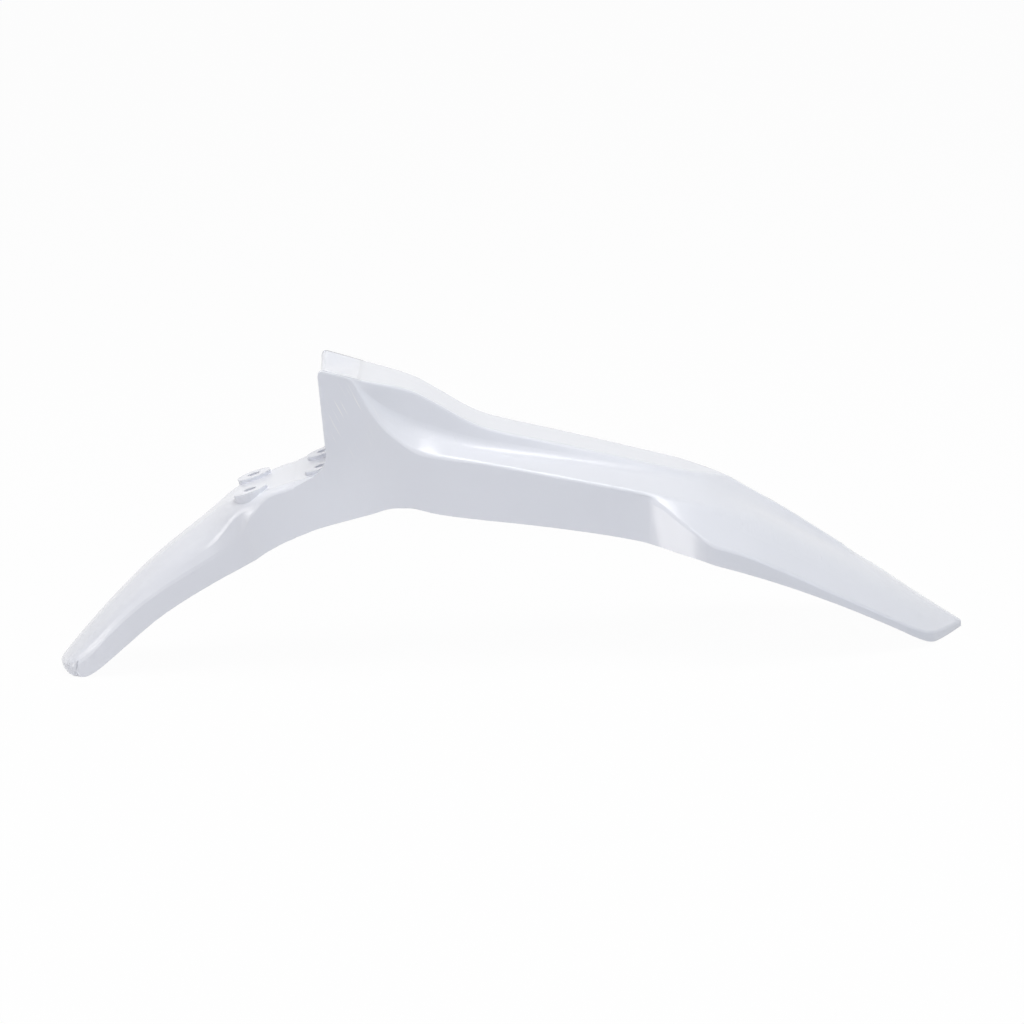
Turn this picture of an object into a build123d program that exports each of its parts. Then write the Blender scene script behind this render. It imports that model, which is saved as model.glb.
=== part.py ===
from build123d import *
import math
import os

os.makedirs("parts", exist_ok=True)

# Driving dimensions in millimetres: x runs forward to the nose, z runs up from the floor
wall = 3.0
half_length = 393.0
deck_slope = 0.2926
deck_x = -203.9
deck_z = 158.0
deck_half_width = 47.5
edge_half_width = 52.0
edge_drop = 4.0
joint_x = -180.0

bolt_pitch = 64.0
bolt_hole_radius = 5.5
boss_radius = 15.0
boss_height = 3.2
boss_rear_x = -219.0

ear_rear_x = -152.0
edge_end_x = -160.0
ear_corner = 5.0
ear_top_z = 255.6
ear_fillet = 20.0
cross_wall_x = -120.0

tail_round = 22.0
tail_round_half_width = 43.0
tail_end_angle = math.radians(30.0)
clear = 60.0


# A smooth line through a few points that never swings past them
def smooth_line(points):
    xs = [p[0] for p in points]
    ys = [p[1] for p in points]
    count = len(xs)
    gaps = [xs[i + 1] - xs[i] for i in range(count - 1)]
    rises = [(ys[i + 1] - ys[i]) / gaps[i] for i in range(count - 1)]
    slopes = [rises[0]]
    for i in range(1, count - 1):
        if rises[i - 1] * rises[i] <= 0:
            slopes.append(0.0)
        else:
            a = 2 * gaps[i] + gaps[i - 1]
            b = gaps[i] + 2 * gaps[i - 1]
            slopes.append((a + b) / (a / rises[i - 1] + b / rises[i]))
    slopes.append(rises[-1])

    def value(x):
        i = 0
        while i < count - 2 and x > xs[i + 1]:
            i += 1
        t = (x - xs[i]) / gaps[i]
        if t < 0:
            return ys[0] + slopes[0] * (x - xs[0])
        if t > 1:
            return ys[-1] + slopes[-1] * (x - xs[-1])
        h00 = (1 + 2 * t) * (1 - t) ** 2
        h10 = t * (1 - t) ** 2
        h01 = t * t * (3 - 2 * t)
        h11 = t * t * (t - 1)
        return h00 * ys[i] + h10 * gaps[i] * slopes[i] + h01 * ys[i + 1] + h11 * gaps[i] * slopes[i + 1]

    return value


# A guide gives half width and height at any x
def guide(points):
    width = smooth_line([(p[0], p[1]) for p in points])
    height = smooth_line([(p[0], p[2]) for p in points])
    return lambda x: (width(x), height(x))


def deck_height(x):
    return deck_z + deck_slope * (x - deck_x)


# Guide lines as (x, half width, height)
rim = guide([
    (-396, 38.5, -2.4), (-378, 39.3, -1.4), (-369, 39.7, -0.3), (-362, 40.0, 3.8), (-346, 41.0, 14.6), (-327, 41.5, 30.5),
    (-300, 42.5, 51.5), (-246, 45.0, 83.1), (-229, 46.6, 91.7), (-223, 48.0, 95.1), (-217, 51.6, 98.7), (-212, 53.4, 102.3),
    (-201, 54.6, 108.9), (-167, 57.0, 123.3), (-115, 58.5, 136.0), (-96, 59.5, 140.4), (-82, 60.8, 140.0),
    (-64, 63.3, 135.5), (-47, 66.0, 132.5), (36, 70.5, 120.2), (112, 74.5, 105.3), (128, 80.0, 100.7),
    (144, 90.5, 96.4), (160, 99.0, 92.3), (170, 102.0, 88.7), (193, 101.2, 81.0), (227, 97.2, 68.0),
    (261, 91.5, 53.0), (296, 84.4, 36.0), (331, 75.2, 17.0), (349, 67.2, 6.5), (359, 59.5, 2.2),
    (366, 49.0, 0.8), (390, 8.0, 0.0), (393, 2.5, 0.0)])
tail_top = smooth_line([
    (-396, 5.0), (-384, 19.0), (-346, 58.8), (-309, 92.6), (-273, 119.8), (-255, 133.0), (-239, 145.0),
    (-222, deck_height(-222)), (-204, deck_height(-204)), (-180, deck_height(-180))])
tail_flat = smooth_line([(-396, 12.0), (-300, 15.0), (-250, 20.0), (-230, 31.0), (-205, 38.0), (-180, 39.0)])
tail_shoulder = guide([
    (-396, 32.0, -2.0), (-383, 33.0, -6.0), (-365, 33.5, -9.0), (-346, 34.0, -9.5), (-300, 36.0, -12.0),
    (-256, 39.5, -14.0), (-240, 43.0, -9.0), (-230, 46.0, -6.0), (-219, 47.6, -3.4), (-208, 47.8, -1.2),
    (-198, 47.7, -0.3), (-180, deck_half_width, 0.0)])
tail_crease = guide([
    (-396, 36.2, 1.8), (-383, 37.0, 7.5), (-374, 37.5, 12.5), (-365, 38.0, 19.0), (-346, 39.0, 37.5),
    (-327, 40.0, 54.4), (-300, 41.5, 74.0), (-249, 44.5, 104.0), (-235, 46.0, 113.6), (-229, 47.2, 119.6),
    (-224, 49.6, 127.6), (-219, 51.4, 135.9), (-212, 52.0, 145.4), (-205, 52.1, 152.4), (-198, 52.1, 156.3),
    (-190, 52.0, 158.2), (-180, edge_half_width, deck_height(-180) - edge_drop)])
ridge = guide([
    (-180, 51.4, 269.0), (-151, 51.2, 260.0), (-128, 50.6, 252.6), (-119, 49.6, 250.0), (-77, 39.0, 237.2),
    (-53, 37.5, 223.0), (-26, 36.0, 206.4), (-12, 35.5, 200.5), (5, 35.0, 195.5), (56, 33.0, 182.2),
    (115, 31.0, 165.8), (148, 28.4, 156.8), (166, 21.5, 151.6), (180, 12.0, 147.6), (191, 3.5, 143.6),
    (205, 2.6, 135.0), (239, 2.6, 113.9), (283, 2.8, 83.4), (291, 3.5, 77.8), (299, 5.0, 70.5),
    (325, 9.0, 52.0), (359, 8.0, 27.6), (377, 4.4, 15.6), (390, 1.6, 7.0), (393, 0.8, 5.0)])
valley = guide([
    (-180, 52.5, 268.5), (-151, 52.3, 259.5), (-128, 51.7, 252.0), (-117, 50.8, 239.0), (-105, 48.4, 225.0),
    (-84, 44.2, 209.0), (-63, 42.0, 200.0), (-21, 40.0, 185.4), (30, 39.0, 175.8), (114, 37.0, 158.4),
    (166, 33.0, 146.4), (186, 29.0, 136.8), (220, 20.0, 118.3), (252, 14.0, 98.6), (283, 12.0, 79.3),
    (299, 14.0, 69.3), (325, 22.0, 50.6), (359, 19.0, 26.0), (377, 10.0, 14.6), (390, 3.0, 6.8), (393, 1.2, 4.9)])
crease = guide([
    (-180, 53.0, 267.3), (-151, 52.8, 258.3), (-128, 52.2, 250.8), (-117, 53.2, 230.8), (-103, 56.0, 211.3),
    (-84, 59.0, 194.7), (-76, 60.0, 189.4), (-69, 60.7, 186.6), (-22, 64.0, 178.2), (45, 68.0, 163.4),
    (112, 72.0, 148.1), (145, 73.0, 139.8), (162, 73.0, 135.1), (179, 72.0, 128.9), (196, 70.0, 122.0),
    (213, 67.0, 115.0), (240, 62.0, 98.8), (262, 57.5, 85.8), (296, 51.0, 64.0), (331, 44.0, 40.5),
    (349, 39.0, 28.5), (359, 34.0, 22.0), (366, 27.0, 18.2), (377, 15.5, 12.6), (390, 5.0, 6.4), (393, 1.6, 4.8)])
lip_height = smooth_line([
    (-180, 42.0), (-120, 40.0), (-60, 26.0), (95, 30.0), (112, 37.0), (124, 37.0), (144, 28.5), (161, 19.8),
    (170, 17.0), (193, 16.4), (237, 12.0), (280, 8.5), (331, 7.4), (359, 8.6), (377, 7.0), (393, 4.7)])
edge_square = smooth_line([(-200, 1.0), (-124, 1.0), (-100, 0.0), (400, 0.0)])
ear_share = smooth_line([(-180, 1.0), (-140, 1.0), (-112, 0.4), (-85, 0.0), (400, 0.0)])
lip_share = smooth_line([(-200, 0.0), (111, 0.0), (121, 0.45), (130, 1.0), (400, 1.0)])
crease_round = smooth_line([(-180, 1.0), (-120, 1.5), (-90, 2.5), (150, 2.5), (175, 7.0), (212, 22.0), (240, 30.0), (400, 30.0)])
valley_round = smooth_line([(-180, 1.0), (-125, 1.0), (-105, 5.0), (-80, 8.0), (180, 8.0), (400, 8.0)])
ridge_round = smooth_line([(-180, 1.0), (-125, 1.2), (-100, 2.0), (150, 2.0), (180, 5.0), (200, 2.0), (280, 2.0), (310, 6.0), (400, 6.0)])
lip_round = smooth_line([(-180, 3.0), (-140, 14.0), (-60, 12.0), (100, 12.0), (118, 3.0), (400, 1.6)])


# Corners of the right half, from the centre line down to the rim, as (half width, height, rounding)
def tail_corners(x):
    top = tail_top(x)
    shoulder = tail_shoulder(x)
    return [(0.0, top, 0.0), (tail_flat(x), top, 12.0), (shoulder[0], top + shoulder[1], 11.0),
            (*tail_crease(x), 1.8), (*rim(x), 0.0)]


def front_corners(x):
    ridge_w, ridge_z = ridge(x)
    crease_w, crease_z = crease(x)
    rim_w, rim_z = rim(x)
    share = lip_height(x) / (crease_z - rim_z)
    lip_w = rim_w + (crease_w - rim_w) * share
    lip_z = rim_z + lip_height(x)
    lip_w += lip_share(x) * (rim_w - 0.4 - lip_w)
    ear = ear_share(x)
    lip_w += ear * (edge_half_width - lip_w)
    lip_z += ear * (deck_height(x) - edge_drop - lip_z)
    return [(0.0, ridge_z, 0.0), (ridge_w, ridge_z, ridge_round(x)), (*valley(x), valley_round(x)),
            (crease_w, crease_z, crease_round(x)), (lip_w, lip_z, lip_round(x)), (rim_w, rim_z, 0.0)]


# Slope of a corner line along x gives the extra depth that keeps the wall even
def lean(corners_at, index, x):
    before = corners_at(x - 2.0)[index]
    after = corners_at(x + 2.0)[index]
    across = (after[0] - before[0]) / 4.0
    up = (after[1] - before[1]) / 4.0
    return math.hypot(1.0, across), math.hypot(1.0, up)


def outward(first, second):
    across = second[0] - first[0]
    up = second[1] - first[1]
    size = math.hypot(across, up)
    return (up / size, -across / size)


# Inner corners lie one wall inside the outer ones, and the open side runs past the rim
def inner_corners(corners_at, x):
    outer = corners_at(x)
    last = len(outer) - 1
    inner = []
    for i in range(last + 1):
        if i == 0:
            normal = (0.0, 1.0)
        elif i == last:
            normal = outward(outer[i], outer[i - 1])
        else:
            one = outward(outer[i], outer[i - 1])
            two = outward(outer[i + 1], outer[i])
            fit = 1.0 + one[0] * two[0] + one[1] * two[1]
            normal = ((one[0] + two[0]) / fit, (one[1] + two[1]) / fit)
        if corners_at is front_corners and i in (1, 2, 3):
            square = edge_square(x)
            normal = (square + (1 - square) * normal[0], square + (1 - square) * normal[1])
        wide, tall = lean(corners_at, i, x)
        inner.append((outer[i][0] - wall * normal[0] * min(wide, 2.2), outer[i][1] - wall * normal[1] * tall, outer[i][2]))
    drop = (inner[last][0] - inner[last - 1][0], inner[last][1] - inner[last - 1][1])
    size = math.hypot(*drop)
    inner[last] = (inner[last][0] + 25.0 * drop[0] / size, inner[last][1] + 25.0 * drop[1] / size, 0.0)
    return inner


def station(x):
    return Plane(origin=(x, 0, 0), x_dir=(0, 1, 0), z_dir=(1, 0, 0))


# Draws the closed section on the current line builder: right half, open side, left half
def draw_section(corners):
    last = len(corners) - 1
    path = [(corners[0][0], corners[0][1])]
    for i in range(1, last):
        here = corners[i]
        before = corners[i - 1]
        after = corners[i + 1]
        back = math.hypot(here[0] - before[0], here[1] - before[1])
        ahead = math.hypot(here[0] - after[0], here[1] - after[1])
        cut = min(here[2], 0.45 * back, 0.45 * ahead)
        path.append((here[0] + (before[0] - here[0]) * cut / back, here[1] + (before[1] - here[1]) * cut / back))
        path.append((here[0], here[1]))
        path.append((here[0] + (after[0] - here[0]) * cut / ahead, here[1] + (after[1] - here[1]) * cut / ahead))
    path.append((corners[last][0], corners[last][1]))
    left = [(-p[0], p[1]) for p in path]
    size = len(path)
    for i in range(0, size - 1, 3):
        Line(path[i], path[i + 1])
        if i + 3 < size:
            Bezier(path[i + 1], path[i + 2], path[i + 3])
    Line(path[-1], left[-1])
    for i in range(size - 1, 0, -3):
        Line(left[i], left[i - 1])
        if i - 3 > 0:
            Bezier(left[i - 1], left[i - 2], left[i - 3])


# Triangle above the sloping deck edge, from where the flat top ends out past the side
def edge_wedge(x, flat_end, hand):
    reach = edge_half_width + 2.0
    fall = edge_drop * (reach - flat_end) / (edge_half_width - deck_half_width)
    top = deck_height(x)
    return [(hand * flat_end, top), (hand * reach, top - fall), (hand * reach, top + 1.0)]


tail_stations = [-396, -388, -378, -366, -350, -328, -302, -276, -258, -246, -238, -231, -226, -221, -216, -211,
                 -205, -198, -189, joint_x]
front_stations = [joint_x, -166, -152, -140, -132, -127, -122, -117, -111, -104, -96, -88, -80, -72, -62, -50, -36,
                  -20, -6, 10, 34, 60, 86, 104, 113, 120, 126, 133, 140, 148, 156, 163, 170, 178, 185, 192, 199, 210,
                  224, 240, 256, 272, 283, 290, 297, 305, 316, 330, 342, 350, 356, 361, 366, 373, 381, 388, 391.5, 393]
inside_front_end = 386.0


# The deck plane carries the fixing bosses; its local y runs forward along the slope
deck_angle = math.degrees(math.atan(deck_slope))
boss_rear_z = deck_height(boss_rear_x) + boss_height / math.cos(math.atan(deck_slope))
boss_plane = Plane(origin=(boss_rear_x, 0, boss_rear_z), x_dir=(0, -1, 0),
                   z_dir=(-math.sin(math.radians(deck_angle)), 0, math.cos(math.radians(deck_angle))))
rear_bosses = [(-bolt_pitch / 2, 0), (bolt_pitch / 2, 0)]
front_bosses = [(-bolt_pitch / 2, bolt_pitch), (bolt_pitch / 2, bolt_pitch)]
side = Plane(origin=(0, 0, 0), x_dir=(1, 0, 0), z_dir=(0, -1, 0))
tail_end = Plane(
    origin=(-half_length, 0, tail_top(-half_length)), x_dir=(math.cos(tail_end_angle), 0, math.sin(tail_end_angle)),
    z_dir=(-math.sin(tail_end_angle), 0, math.cos(tail_end_angle)))

with BuildPart() as tail_inside:
    for x in tail_stations:
        with BuildSketch(station(x)):
            with BuildLine():
                draw_section(inner_corners(tail_corners, x))
            make_face()
    loft()

with BuildPart() as front_inside:
    for x in [x for x in front_stations if x < inside_front_end] + [inside_front_end]:
        with BuildSketch(station(x)):
            with BuildLine():
                draw_section(inner_corners(front_corners, x))
            make_face()
    loft()
    # The deck and the cross wall behind the plateau stay solid
    with BuildSketch(side):
        with BuildLine():
            Polyline((joint_x - 9, deck_height(joint_x - 9) - wall), (cross_wall_x + wall / 2, deck_height(cross_wall_x + wall / 2) - wall),
                     (cross_wall_x + wall / 2, 320), (joint_x - 9, 320), close=True)
        make_face()
    extrude(amount=80, both=True, mode=Mode.SUBTRACT)

with BuildPart() as tail:
    for x in tail_stations:
        with BuildSketch(station(x)):
            with BuildLine():
                draw_section(tail_corners(x))
            make_face()
    loft()
    with BuildSketch(boss_plane):
        with Locations(*rear_bosses):
            Circle(boss_radius)
    extrude(amount=-22)
    add(tail_inside.part, mode=Mode.SUBTRACT)
    # Rounded end of the tail, cut square to its slope
    with BuildSketch(tail_end):
        with Locations((tail_round, 0)):
            Rectangle(clear + tail_round, 2 * clear, align=(Align.MAX, Align.CENTER))
            Ellipse(tail_round, tail_round_half_width, mode=Mode.SUBTRACT)
    extrude(amount=clear, both=True, mode=Mode.SUBTRACT)

with BuildPart() as front:
    for x in front_stations:
        with BuildSketch(station(x)):
            with BuildLine():
                draw_section(front_corners(x))
            make_face()
    loft()
    add(front_inside.part, mode=Mode.SUBTRACT)
    # Recess between the ears, open to the rear
    with BuildSketch(side):
        with BuildLine():
            Polyline((joint_x - 30, deck_height(joint_x - 30)), (cross_wall_x - wall / 2, deck_height(cross_wall_x - wall / 2)),
                     (cross_wall_x - wall / 2, 320), (joint_x - 30, 320), close=True)
        make_face()
    extrude(amount=edge_half_width - wall, both=True, mode=Mode.SUBTRACT)
    # Rear edge of the ears with its hollow foot and its rounded top corner
    foot = (ear_rear_x + 1.0, deck_height(ear_rear_x + 1.0))
    with BuildSketch(side):
        with BuildLine():
            Polyline((joint_x - 30, deck_height(joint_x - 30)), foot, (ear_rear_x - 6.5, 320), (joint_x - 30, 320), close=True)
        make_face()
        fillet(vertices().sort_by_distance((foot[0], foot[1], 0))[0], ear_fillet)
    extrude(amount=80, both=True, mode=Mode.SUBTRACT)
    with BuildSketch(side):
        with Locations((ear_rear_x - 3, ear_top_z)):
            Rectangle(ear_corner * 2, ear_corner * 2, align=(Align.CENTER, Align.MIN))
        with Locations((ear_rear_x - 3 + ear_corner, ear_top_z)):
            Circle(ear_corner, mode=Mode.SUBTRACT)
    extrude(amount=80, both=True, mode=Mode.SUBTRACT)
    # Deck edge runs out against the foot of each ear
    for hand in (1, -1):
        with BuildSketch(station(joint_x)):
            with BuildLine():
                Polyline(*edge_wedge(joint_x, deck_half_width, hand), close=True)
            make_face()
        with BuildSketch(station(edge_end_x)):
            with BuildLine():
                Polyline(*edge_wedge(edge_end_x, edge_half_width + 0.1, hand), close=True)
            make_face()
        loft(ruled=True, mode=Mode.SUBTRACT)

with BuildPart() as mudguard:
    add(tail.part)
    add(front.part)
    with BuildSketch(boss_plane):
        with Locations(*front_bosses):
            Circle(boss_radius)
    extrude(amount=-boss_height - wall / 2)
    with BuildSketch(boss_plane):
        with Locations(*rear_bosses, *front_bosses):
            Circle(bolt_hole_radius)
    extrude(amount=-30, mode=Mode.SUBTRACT)
    # The floor line
    with Locations((0, 0, -25)):
        Box(900, 300, 50, mode=Mode.SUBTRACT)

mudguard.part.label = "mudguard"
export_step(mudguard.part, "parts/mudguard.step")
print("mudguard", mudguard.part.volume, mudguard.part.is_valid, len(mudguard.part.solids()), mudguard.part.bounding_box())
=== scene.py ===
import math

import bmesh
import bpy
from mathutils import Matrix, Vector


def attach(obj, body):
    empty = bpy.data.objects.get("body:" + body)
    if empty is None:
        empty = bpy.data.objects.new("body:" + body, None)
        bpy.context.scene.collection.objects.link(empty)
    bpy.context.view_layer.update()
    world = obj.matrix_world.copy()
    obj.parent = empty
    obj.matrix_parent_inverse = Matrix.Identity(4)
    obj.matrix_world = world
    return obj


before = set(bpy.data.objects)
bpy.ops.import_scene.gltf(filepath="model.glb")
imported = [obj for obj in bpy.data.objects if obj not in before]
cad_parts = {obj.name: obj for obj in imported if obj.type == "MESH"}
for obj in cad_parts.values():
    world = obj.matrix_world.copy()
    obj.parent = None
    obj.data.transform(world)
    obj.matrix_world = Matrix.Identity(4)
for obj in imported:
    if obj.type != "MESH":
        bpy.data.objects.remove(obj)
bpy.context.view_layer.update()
scene = bpy.context.scene
print("frame loaded", sorted(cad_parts))

# camera
cameraLook = {
    "target": (0.0043, 0.0, 0.1195),
    "distance": 2.7733,
    "azimuth": -0.865,
    "elevation": 12.55,
    "roll": -2.4,
    "lens": 112.5,
    "sensor": 36.0,
    "clipEnd": 50.0,
}


def addCamera(look):
    data = bpy.data.cameras.new("camera")
    data.lens = look["lens"]
    data.sensor_width = look["sensor"]
    data.clip_end = look["clipEnd"]
    camera = bpy.data.objects.new("camera", data)
    scene.collection.objects.link(camera)
    turn = math.radians(look["azimuth"])
    rise = math.radians(look["elevation"])
    back = Vector((math.sin(turn) * math.cos(rise), -math.cos(turn) * math.cos(rise), math.sin(rise)))
    camera.location = Vector(look["target"]) + back * look["distance"]
    aim = (-back).to_track_quat("-Z", "Y").to_matrix()
    camera.rotation_euler = (aim @ Matrix.Rotation(math.radians(look["roll"]), 3, "Z")).to_euler()
    scene.camera = camera


addCamera(cameraLook)
print("camera set")


# nodes: an input takes a plain value, or the output of another node
def feed(tree, socket, value):
    if isinstance(value, bpy.types.NodeSocket):
        tree.links.new(value, socket)
    else:
        socket.default_value = value


def newNode(tree, kind, inputs, operation=None):
    node = tree.nodes.new(kind)
    if operation:
        node.operation = operation
    for key, value in inputs.items():
        feed(tree, node.inputs[key], value)
    return node


def mathNode(tree, operation, first, second):
    return newNode(tree, "ShaderNodeMath", {0: first, 1: second}, operation).outputs[0]


def mixShaders(tree, share, first, second):
    return newNode(tree, "ShaderNodeMixShader", {0: share, 1: first, 2: second}).outputs[0]


def mixColours(tree, share, first, second):
    mix = tree.nodes.new("ShaderNodeMix")
    mix.data_type = "RGBA"
    feed(tree, mix.inputs[0], share)
    feed(tree, mix.inputs[6], first)  # 6 and 7 are the colour inputs, 2 the colour output
    feed(tree, mix.inputs[7], second)
    return mix.outputs[2]


def ramp(tree, value, start, end=(0.0, 1.0)):
    node = newNode(tree, "ShaderNodeMapRange", {
        "Value": value, "From Min": start[0], "From Max": start[1], "To Min": end[0], "To Max": end[1]})
    return node.outputs["Result"]


def mapped(tree, place, setting, value):
    return newNode(tree, "ShaderNodeMapping", {"Vector": place, setting: value}).outputs["Vector"]


def noise(tree, place, scale, detail):
    node = newNode(tree, "ShaderNodeTexNoise", {"Vector": place, "Scale": scale, "Detail": detail})
    return node.outputs["Fac"]


# floor and light
white = (1, 1, 1, 1)
floorLook = {"size": 60.0, "height": -0.0005, "colour": (0.80, 0.80, 0.82, 1), "shade": 0.03}
lampAim = (0, 0, 0.12)
lampLook = {
    "key": {"place": (-1.6, -0.9, 2.6), "size": (1.6, 1.6), "power": 8.0, "colour": (1.0, 0.98, 0.945)},
    "over": {"place": (0.1, -0.35, 3.0), "size": (2.0, 2.0), "power": 51.0, "colour": (1.0, 0.985, 0.96)},
    "left": {"place": (-2.1, -1.4, 0.6), "size": (1.2, 0.75), "power": 9.4, "colour": (1.0, 0.97, 0.94)},
    "ledge": {"place": (0.8, -1.5, 2.15), "size": (1.7, 1.7), "power": 6.5, "colour": (0.95, 0.98, 1.0)},
    "nose": {"place": (1.85, -1.75, 0.95), "size": (1.5, 1.5), "power": 6.0, "colour": (0.82, 0.91, 1.0)},
}
worldLook = {"level": 0.25, "colour": (0.93, 0.96, 1.0, 1)}


def seenRays(tree):
    path = tree.nodes.new("ShaderNodeLightPath")
    glossy = mathNode(tree, "MAXIMUM", path.outputs["Is Camera Ray"], path.outputs["Is Glossy Ray"])
    return mathNode(tree, "MAXIMUM", glossy, path.outputs["Is Transmission Ray"])


def addFloor(look):
    bpy.ops.mesh.primitive_plane_add(size=look["size"], location=(0, 0, look["height"]))
    floor = bpy.context.object
    floor.name = "floor"
    mat = bpy.data.materials.new("floorWhite")
    mat.use_nodes = True
    tree = mat.node_tree
    tree.nodes.clear()
    matt = newNode(tree, "ShaderNodeBsdfDiffuse", {"Color": look["colour"]}).outputs[0]
    glow = newNode(tree, "ShaderNodeEmission", {"Color": white, "Strength": 1.0}).outputs[0]
    soft = mixShaders(tree, look["shade"], glow, matt)  # how much of the shadow shows
    seen = mixShaders(tree, seenRays(tree), matt, soft)
    newNode(tree, "ShaderNodeOutputMaterial", {0: seen})
    floor.data.materials.append(mat)


def addLamp(name, look):
    data = bpy.data.lights.new(name, "AREA")
    data.shape = "ELLIPSE"
    data.size, data.size_y = look["size"]
    data.energy = look["power"]
    data.color = look["colour"]
    lamp = bpy.data.objects.new(name, data)
    scene.collection.objects.link(lamp)
    lamp.location = look["place"]
    lamp.rotation_euler = (Vector(lampAim) - Vector(look["place"])).to_track_quat("-Z", "Y").to_euler()


def addWorld(look):
    world = bpy.data.worlds.new("world")
    scene.world = world
    world.use_nodes = True
    tree = world.node_tree
    tree.nodes.clear()
    fill = newNode(tree, "ShaderNodeBackground", {"Color": look["colour"], "Strength": look["level"]})
    plain = newNode(tree, "ShaderNodeBackground", {"Color": white, "Strength": 1.0})
    seen = mixShaders(tree, seenRays(tree), fill.outputs[0], plain.outputs[0])
    newNode(tree, "ShaderNodeOutputWorld", {0: seen})


addFloor(floorLook)
for name in lampLook:
    addLamp(name, lampLook[name])
addWorld(worldLook)
print("floor and light set")

# mudguard plastic
plasticLook = {
    "colour": (0.785, 0.80, 0.865, 1.0),
    "pale": (0.805, 0.82, 0.88, 1.0),  # colour where the moulding is a little milkier
    "cloud": (7.0, 3.0),  # scale and detail of the slow flow marks
    "ior": 1.56,
    "softness": 0.35,  # share of the light that goes into the plastic
    "depth": 0.005,
    "gloss": (0.19, 0.21),
    "rub": (2.0, 6.0),
    "rubStretch": (14.0, 60.0, 60.0),  # fine rubbing marks run along the part
    "rubSpan": (0.3, 0.7),
    "scuffPlace": (-0.137, -0.0525, 0.216),
    "scuffReach": 0.034,
    "scuffTurn": 0.43,
    "scuff": (1.0, 1.0),
    "scuffStretch": (560.0, 40.0, 30.0),
    "scuffSpan": (0.61, 0.72),
    "scuffColour": (0.95, 0.95, 0.95, 1.0),
    "flareLean": 0.23,  # the facet under the flare is shaded as if it looked up a little
    "flareFacing": (-0.28, -0.40),  # that facet faces back
    "flareStart": (0.105, 0.115),
    "grain": (700.0, 2.0),
    "grainDepth": 0.00006,
    "grainStrength": 0.35,
}


def scuffShare(tree, place, look):
    line = mapped(tree, place, "Rotation", (0.0, look["scuffTurn"], 0.0))  # they run down and forward
    streak = mapped(tree, line, "Scale", look["scuffStretch"])
    thin = ramp(tree, noise(tree, streak, *look["scuff"]), look["scuffSpan"])
    reach = newNode(tree, "ShaderNodeVectorMath", {0: place, 1: look["scuffPlace"]}, "DISTANCE")
    near = ramp(tree, reach.outputs["Value"], (look["scuffReach"], look["scuffReach"] * 0.5))
    return mathNode(tree, "MULTIPLY", thin, near)


def plasticColour(tree, place, look):
    tint = mixColours(tree, noise(tree, place, *look["cloud"]), look["colour"], look["pale"])
    return mixColours(tree, scuffShare(tree, place, look), tint, look["scuffColour"])


def plasticGloss(tree, place, look):
    along = mapped(tree, place, "Scale", look["rubStretch"])
    return ramp(tree, noise(tree, along, *look["rub"]), look["rubSpan"], look["gloss"])


def flareNormal(tree, place, look):
    face = tree.nodes.new("ShaderNodeNewGeometry").outputs["Normal"]
    facing = newNode(tree, "ShaderNodeSeparateXYZ", {0: face}).outputs["X"]
    along = newNode(tree, "ShaderNodeSeparateXYZ", {0: place}).outputs["X"]
    flare = mathNode(
        tree, "MULTIPLY", ramp(tree, facing, look["flareFacing"]), ramp(tree, along, look["flareStart"]))
    rise = mathNode(tree, "MULTIPLY", flare, look["flareLean"])
    lean = newNode(tree, "ShaderNodeCombineXYZ", {"Z": rise}).outputs[0]
    turn = newNode(tree, "ShaderNodeVectorMath", {0: face, 1: lean}, "ADD").outputs[0]
    return newNode(tree, "ShaderNodeVectorMath", {0: turn}, "NORMALIZE").outputs[0]


def grainNormal(tree, place, look):
    bump = newNode(tree, "ShaderNodeBump", {
        "Strength": look["grainStrength"], "Distance": look["grainDepth"],
        "Height": noise(tree, place, *look["grain"]), "Normal": flareNormal(tree, place, look)})
    return bump.outputs["Normal"]


def plasticMaterial(look):
    mat = bpy.data.materials.new("whitePlastic")
    mat.use_nodes = True
    tree = mat.node_tree
    place = tree.nodes.new("ShaderNodeTexCoord").outputs["Object"]
    settings = {
        "IOR": look["ior"],
        "Subsurface Weight": look["softness"],
        "Subsurface Radius": (1.0, 1.0, 1.0),
        "Subsurface Scale": look["depth"],
        "Base Color": plasticColour(tree, place, look),
        "Roughness": plasticGloss(tree, place, look),
        "Normal": grainNormal(tree, place, look),
    }
    for key, value in settings.items():
        feed(tree, tree.nodes["Principled BSDF"].inputs[key], value)
    return mat


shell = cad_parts["mudguard"]
plastic = plasticMaterial(plasticLook)
shell.data.materials.clear()
shell.data.materials.append(plastic)
print("plastic set")

# top between the ears, from the rear edge of the plateau to the rear edge of the ears
bridgeLook = {
    "line": [  # x, half width and height of the edge, from the plateau back
        (-0.1150, 0.0475, 0.2480), (-0.1195, 0.0492, 0.2502), (-0.1285, 0.0506, 0.2530),
        (-0.1500, 0.0513, 0.2601), (-0.1535, 0.0513, 0.2593), (-0.1547, 0.0513, 0.2573),
    ],
    "dip": 0.008,  # how far the middle sinks at the rear
    "dipEnds": (-0.1195, -0.1547),
    "dipWidth": 0.95,  # share of the half width that sinks
    "wall": 0.003,
    "cells": (15, 28),
    "smoothFrom": 0.5,
}


def pointAt(line, share):
    place = share * (len(line) - 1)
    first = min(int(place), len(line) - 2)
    part = place - first
    return [a + (b - a) * part for a, b in zip(line[first], line[first + 1])]


def newGrid(cells):
    bm = bmesh.new()
    bmesh.ops.create_grid(bm, x_segments=cells[0], y_segments=cells[1], size=1.0)
    return bm


def finishPiece(bm, name, wall):
    bmesh.ops.solidify(bm, geom=bm.faces[:], thickness=wall)
    mesh = bpy.data.meshes.new(name)
    bm.to_mesh(mesh)
    bm.free()
    mesh.materials.append(plastic)
    piece = bpy.data.objects.new(name, mesh)
    scene.collection.objects.link(piece)
    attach(piece, "root")
    return piece


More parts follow.
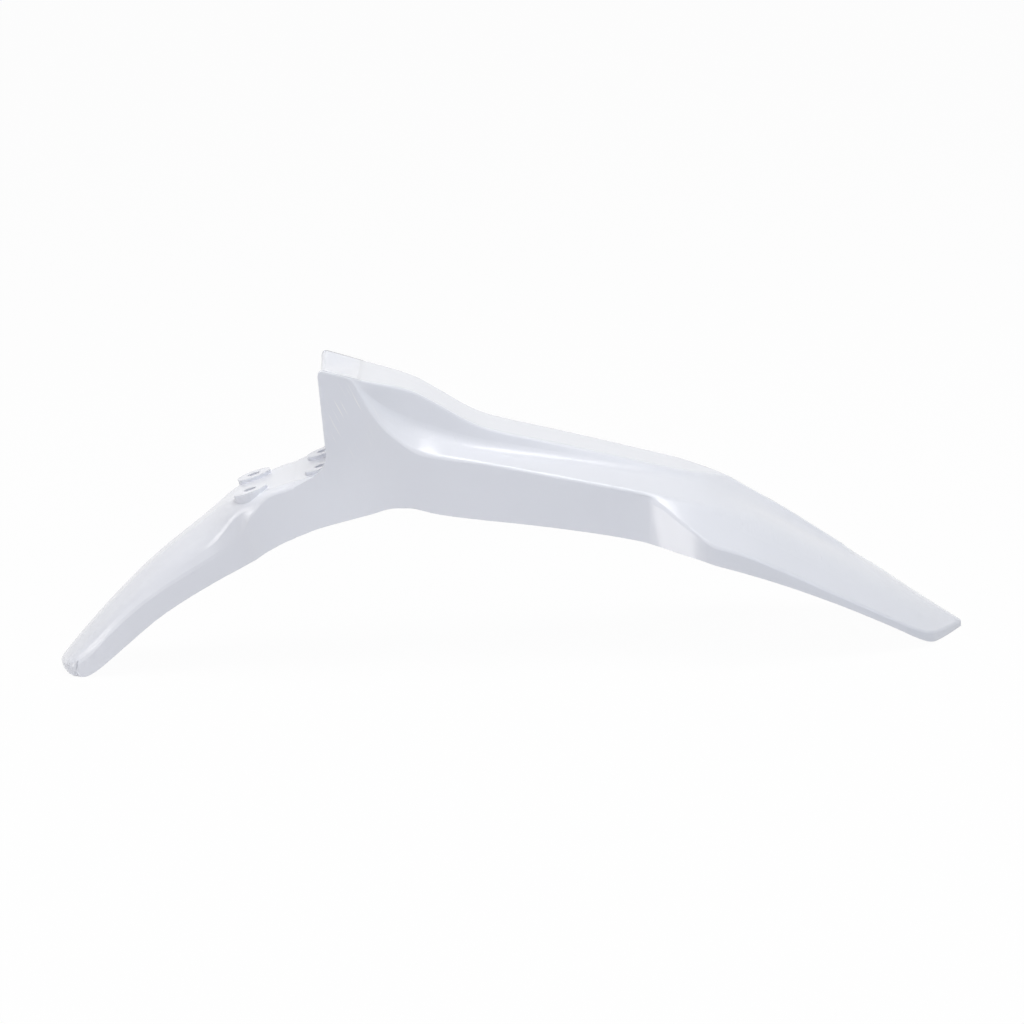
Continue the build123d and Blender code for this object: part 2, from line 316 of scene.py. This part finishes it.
def addBridge(look):
    bm = newGrid(look["cells"])
    start, end = look["dipEnds"]
    for vert in bm.verts:
        side = vert.co.y
        x, halfWidth, z = pointAt(look["line"], (1.0 - vert.co.x) / 2.0)
        back = min(1.0, max(0.0, (start - x) / (start - end)))
        middle = max(0.0, 1.0 - (side / look["dipWidth"]) ** 2)
        sink = look["dip"] * math.sin(back * math.pi / 2.0) * middle
        vert.co = Vector((x, side * halfWidth, z - sink))
    bmesh.ops.recalc_face_normals(bm, faces=bm.faces)
    if sum(face.normal.z for face in bm.faces) < 0.0:
        bmesh.ops.reverse_faces(bm, faces=bm.faces)
    piece = finishPiece(bm, "earBridge", look["wall"])
    for face in piece.data.polygons:
        face.use_smooth = abs(face.normal.z) > look["smoothFrom"]  # the cut edges stay flat


addBridge(bridgeLook)
print("bridge between the ears made")

# rounded tip that closes the end of the tail down to the floor
tipLook = {
    "end": -0.3928,
    "round": 0.0205,
    "halfWidth": 0.0421,
    "tuck": 0.08,  # how far each end goes in under the side of the tail
    "tuckFrom": 0.6,
    "sweep": 80.0,  # degrees to each side
    "profile": [  # depth inward and share of the height, from the top edge down
        (0.0022, 1.0), (0.0, 0.72), (0.0009, 0.36), (0.0030, 0.12), (0.0062, 0.015), (0.0160, 0.012),
    ],
    "probeInset": 0.0028,  # the tail's height is felt from above, this far inside the edge
    "probeHeight": 0.1,
    "sink": 0.0016,
    "plainHeight": 0.010,  # height where the probe meets nothing
    "wall": 0.003,
    "cells": (15, 36),
}


def tailHeight(probe, look):
    found, spot = shell.ray_cast(Vector((probe.x, probe.y, look["probeHeight"])), Vector((0, 0, -1)))[:2]
    return spot.z - look["sink"] if found else look["plainHeight"]


def addTip(look):
    bpy.context.view_layer.update()
    bm = newGrid(look["cells"])
    for vert in bm.verts:
        side = vert.co.y
        turn = math.radians(look["sweep"] * side)
        depth, height = pointAt(look["profile"], (1.0 - vert.co.x) / 2.0)
        inward = Vector((math.cos(turn), -0.5 * math.sin(turn), 0.0)).normalized()
        tucked = max(0.0, abs(side) - look["tuckFrom"]) / (1.0 - look["tuckFrom"])
        across = look["halfWidth"] * (1.0 - look["tuck"] * tucked ** 2) * math.sin(turn)
        edge = Vector((look["end"] + look["round"] * (1.0 - math.cos(turn)), across, 0.0))
        top = tailHeight(edge + inward * look["probeInset"], look)
        point = edge + inward * depth * math.cos(turn)
        vert.co = Vector((point.x, point.y, top * height))
    bmesh.ops.recalc_face_normals(bm, faces=bm.faces)
    if sum(face.normal.x for face in bm.faces) > 0.0:
        bmesh.ops.reverse_faces(bm, faces=bm.faces)
    piece = finishPiece(bm, "tailTip", look["wall"])
    for face in piece.data.polygons:
        face.use_smooth = True


addTip(tipLook)
print("tail tip made")

scene.view_settings.view_transform = "Standard"
